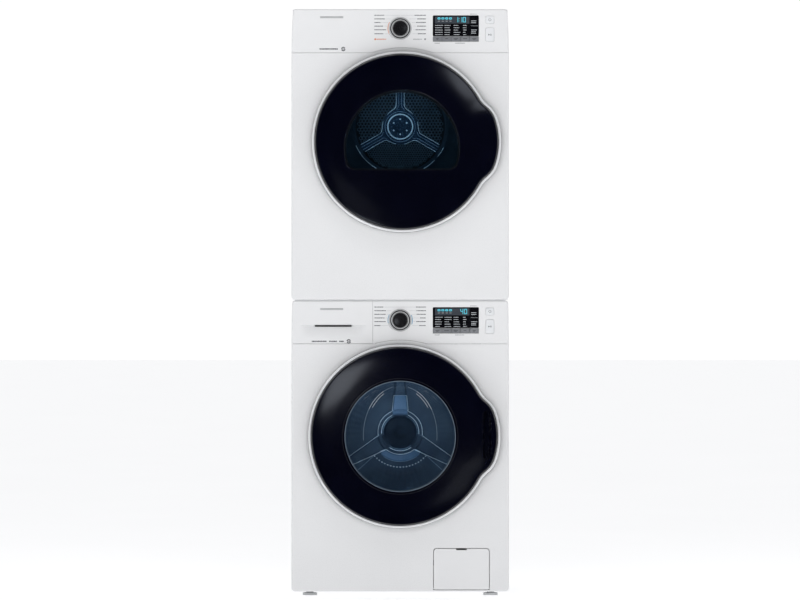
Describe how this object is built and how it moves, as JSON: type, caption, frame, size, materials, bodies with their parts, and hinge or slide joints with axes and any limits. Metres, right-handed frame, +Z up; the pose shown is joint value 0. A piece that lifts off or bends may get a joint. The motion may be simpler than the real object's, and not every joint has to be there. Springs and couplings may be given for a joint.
{
  "type": "washer dryer stack",
  "caption": "Front-loading washing machine with a tumble dryer stacked on it, each with a round bulged door, a turning program knob, press keys and a spinning drum.",
  "frame": {"origin": "on the floor, centred under the stack's bounding box", "axes": "+Z up, +X to the right of a person facing the doors, -Y out of the doors towards that person"},
  "size_m": [0.6, 0.673, 1.619],
  "materials": {
    "white_steel": "smooth gloss enamel, cool white",
    "white_plastic": "satin moulded plastic, cool white",
    "key_white": "satin pale grey moulding",
    "galvanised_steel": "zinc coated, dull, faint spangle",
    "display_black": "polished black screen window",
    "knob_black": "polished black with satin silver skirt",
    "chrome_trim": "bright plated rim",
    "door_black": "polished blue-black shell",
    "door_grey": "fine grained grey moulding",
    "clear_glass": "clear, slightly blue tinted",
    "gasket_rubber": "soft matt grey",
    "tub_plastic": "mineral filled grey moulding",
    "tray_plastic": "pale grey moulding",
    "concrete": "cast concrete",
    "drum_steel": "stainless, perforated, fine brushed",
    "cast_aluminium": "cast, lightly machined",
    "black_plastic": "black moulding",
    "belt_rubber": "ribbed black belt",
    "spring_steel": "drawn spring wire",
    "duct_steel": "zinc coated sheet",
    "print_grey": "printed mark, dark grey",
    "print_blue": "printed mark, blue",
    "print_orange": "printed mark, orange",
    "silver_trim": "satin silver",
    "screen_cyan": "lit cyan screen segment",
    "screen_white": "lit white screen mark",
    "screen_panel": "dark screen field"
  },
  "bodies": {
    "stack_frame": {"washer_cabinet": "white_steel", "washer_front_panel": "white_steel", "top_plates": "white_plastic", "washer_control_panel": "white_plastic", "rear_covers": "galvanised_steel", "washer_dispenser_box": "tub_plastic", "washer_drain_pump": "tub_plastic", "washer_water_connectors": "tub_plastic", "washer_door_gasket": "gasket_rubber", "dryer_cabinet": "white_steel", "dryer_front_panel": "white_steel", "dryer_control_panel": "white_plastic", "dryer_front_bulkhead": "door_grey", "dryer_motor": "cast_aluminium", "dryer_drive_belt": "belt_rubber", "dryer_exhaust_duct": "duct_steel", "display_windows": "display_black", "leveling_feet": "black_plastic", "stacking_brackets": "galvanised_steel", "door_hardware": "galvanised_steel", "washer_springs": "spring_steel", "washer_dampers": "black_plastic"},
    "washer_tub_unit": {"washer_tub": "tub_plastic", "washer_counterweights": "concrete", "washer_motor": "cast_aluminium", "washer_drive_belt": "belt_rubber"},
    "washer_drum_unit": {"washer_drum": "drum_steel", "washer_drum_lifters": "tray_plastic", "washer_drum_pulley": "cast_aluminium"},
    "washer_motor_shaft": {"washer_motor_pulley": "cast_aluminium"},
    "washer_door": {"washer_door_ring": "chrome_trim", "washer_door_cover": "door_black", "washer_door_glass": "clear_glass", "washer_door_liner": "door_grey"},
    "washer_drawer": {"washer_detergent_drawer": "tray_plastic", "washer_drawer_front": "white_plastic"},
    "washer_hatch": {"washer_filter_hatch": "white_plastic"},
    "dryer_drum_unit": {"dryer_drum": "drum_steel"},
    "dryer_motor_shaft": {"dryer_motor_pulley": "black_plastic"},
    "dryer_door": {"dryer_door_ring": "chrome_trim", "dryer_door_cover": "door_black", "dryer_door_window": "clear_glass", "dryer_door_liner": "door_grey"},
    "dryer_filter": {"dryer_lint_filter": "tray_plastic"},
    "washer_knob": {"washer_program_knob": "knob_black"},
    "washer_power_key": {"washer_power_button": "key_white"},
    "washer_start_key": {"washer_start_button": "key_white"},
    "washer_option_key_1": {"washer_option_button_1": "key_white"},
    "washer_option_key_2": {"washer_option_button_2": "key_white"},
    "washer_option_key_3": {"washer_option_button_3": "key_white"},
    "washer_option_key_4": {"washer_option_button_4": "key_white"},
    "washer_option_key_5": {"washer_option_button_5": "key_white"},
    "dryer_knob": {"dryer_program_knob": "knob_black"},
    "dryer_power_key": {"dryer_power_button": "key_white"},
    "dryer_start_key": {"dryer_start_button": "key_white"},
    "dryer_option_key_1": {"dryer_option_button_1": "key_white"},
    "dryer_option_key_2": {"dryer_option_button_2": "key_white"},
    "dryer_option_key_3": {"dryer_option_button_3": "key_white"},
    "dryer_option_key_4": {"dryer_option_button_4": "key_white"},
    "dryer_option_key_5": {"dryer_option_button_5": "key_white"}
  },
  "joints": [
    {"name": "washer_tub_bounce", "type": "slide", "parent": "stack_frame", "child": "washer_tub_unit", "axis": [0, 0, 1], "range_m": [-0.01, 0.01], "stiffness_N_per_m": 20000, "springref_m": 0.02, "deforming": ["washer_springs", "washer_dampers"]},
    {"name": "washer_drum_spin", "type": "hinge", "parent": "washer_tub_unit", "child": "washer_drum_unit", "pos_m": [0, 0.0215, 0.4415], "axis": [0, 1, 0], "continuous": true},
    {"name": "washer_motor_spin", "type": "hinge", "parent": "washer_tub_unit", "child": "washer_motor_shaft", "pos_m": [0.15, 0.1715, 0.15], "axis": [0, 1, 0], "continuous": true},
    {"name": "washer_door_hinge", "type": "hinge", "parent": "stack_frame", "child": "washer_door", "pos_m": [-0.242, -0.3085, 0.4415], "axis": [0, 0, -1], "range_deg": [0, 155]},
    {"name": "washer_drawer_slide", "type": "slide", "parent": "stack_frame", "child": "washer_drawer", "axis": [0, -1, 0], "range_m": [0, 0.2]},
    {"name": "washer_hatch_hinge", "type": "hinge", "parent": "stack_frame", "child": "washer_hatch", "pos_m": [0.169, -0.2755, 0.0205], "axis": [1, 0, 0], "range_deg": [0, 90]},
    {"name": "dryer_drum_spin", "type": "hinge", "parent": "stack_frame", "child": "dryer_drum_unit", "pos_m": [0, 0.0215, 1.31], "axis": [0, 1, 0], "continuous": true},
    {"name": "dryer_motor_spin", "type": "hinge", "parent": "stack_frame", "child": "dryer_motor_shaft", "pos_m": [0.15, 0.1015, 0.9], "axis": [0, 1, 0], "continuous": true},
    {"name": "dryer_door_hinge", "type": "hinge", "parent": "stack_frame", "child": "dryer_door", "pos_m": [-0.232, -0.3085, 1.252], "axis": [0, 0, -1], "range_deg": [0, 155]},
    {"name": "dryer_filter_slide", "type": "slide", "parent": "stack_frame", "child": "dryer_filter", "axis": [0, 0, 1], "range_m": [0, 0.15]},
    {"name": "washer_knob_turn", "type": "hinge", "parent": "stack_frame", "child": "washer_knob", "pos_m": [0, -0.2885, 0.7607], "axis": [0, 1, 0], "continuous": true},
    {"name": "washer_power_key_press", "type": "slide", "parent": "stack_frame", "child": "washer_power_key", "axis": [0, 1, 0], "range_m": [0, 0.0015], "stiffness_N_per_m": 200, "springref_m": -0.001},
    {"name": "washer_start_key_press", "type": "slide", "parent": "stack_frame", "child": "washer_start_key", "axis": [0, 1, 0], "range_m": [0, 0.0015], "stiffness_N_per_m": 200, "springref_m": -0.001},
    {"name": "washer_option_key_1_press", "type": "slide", "parent": "stack_frame", "child": "washer_option_key_1", "axis": [0, 1, 0], "range_m": [0, 0.0015], "stiffness_N_per_m": 200, "springref_m": -0.001},
    {"name": "washer_option_key_2_press", "type": "slide", "parent": "stack_frame", "child": "washer_option_key_2", "axis": [0, 1, 0], "range_m": [0, 0.0015], "stiffness_N_per_m": 200, "springref_m": -0.001},
    {"name": "washer_option_key_3_press", "type": "slide", "parent": "stack_frame", "child": "washer_option_key_3", "axis": [0, 1, 0], "range_m": [0, 0.0015], "stiffness_N_per_m": 200, "springref_m": -0.001},
    {"name": "washer_option_key_4_press", "type": "slide", "parent": "stack_frame", "child": "washer_option_key_4", "axis": [0, 1, 0], "range_m": [0, 0.0015], "stiffness_N_per_m": 200, "springref_m": -0.001},
    {"name": "washer_option_key_5_press", "type": "slide", "parent": "stack_frame", "child": "washer_option_key_5", "axis": [0, 1, 0], "range_m": [0, 0.0015], "stiffness_N_per_m": 200, "springref_m": -0.001},
    {"name": "dryer_knob_turn", "type": "hinge", "parent": "stack_frame", "child": "dryer_knob", "pos_m": [0, -0.2885, 1.5657], "axis": [0, 1, 0], "continuous": true},
    {"name": "dryer_power_key_press", "type": "slide", "parent": "stack_frame", "child": "dryer_power_key", "axis": [0, 1, 0], "range_m": [0, 0.0015], "stiffness_N_per_m": 200, "springref_m": -0.001},
    {"name": "dryer_start_key_press", "type": "slide", "parent": "stack_frame", "child": "dryer_start_key", "axis": [0, 1, 0], "range_m": [0, 0.0015], "stiffness_N_per_m": 200, "springref_m": -0.001},
    {"name": "dryer_option_key_1_press", "type": "slide", "parent": "stack_frame", "child": "dryer_option_key_1", "axis": [0, 1, 0], "range_m": [0, 0.0015], "stiffness_N_per_m": 200, "springref_m": -0.001},
    {"name": "dryer_option_key_2_press", "type": "slide", "parent": "stack_frame", "child": "dryer_option_key_2", "axis": [0, 1, 0], "range_m": [0, 0.0015], "stiffness_N_per_m": 200, "springref_m": -0.001},
    {"name": "dryer_option_key_3_press", "type": "slide", "parent": "stack_frame", "child": "dryer_option_key_3", "axis": [0, 1, 0], "range_m": [0, 0.0015], "stiffness_N_per_m": 200, "springref_m": -0.001},
    {"name": "dryer_option_key_4_press", "type": "slide", "parent": "stack_frame", "child": "dryer_option_key_4", "axis": [0, 1, 0], "range_m": [0, 0.0015], "stiffness_N_per_m": 200, "springref_m": -0.001},
    {"name": "dryer_option_key_5_press", "type": "slide", "parent": "stack_frame", "child": "dryer_option_key_5", "axis": [0, 1, 0], "range_m": [0, 0.0015], "stiffness_N_per_m": 200, "springref_m": -0.001}
  ],
  "couplings": [
    {"joint": "washer_motor_spin", "follows": "washer_drum_spin", "ratio": 7.7778},
    {"joint": "dryer_motor_spin", "follows": "dryer_drum_spin", "ratio": 22.333}
  ]
}
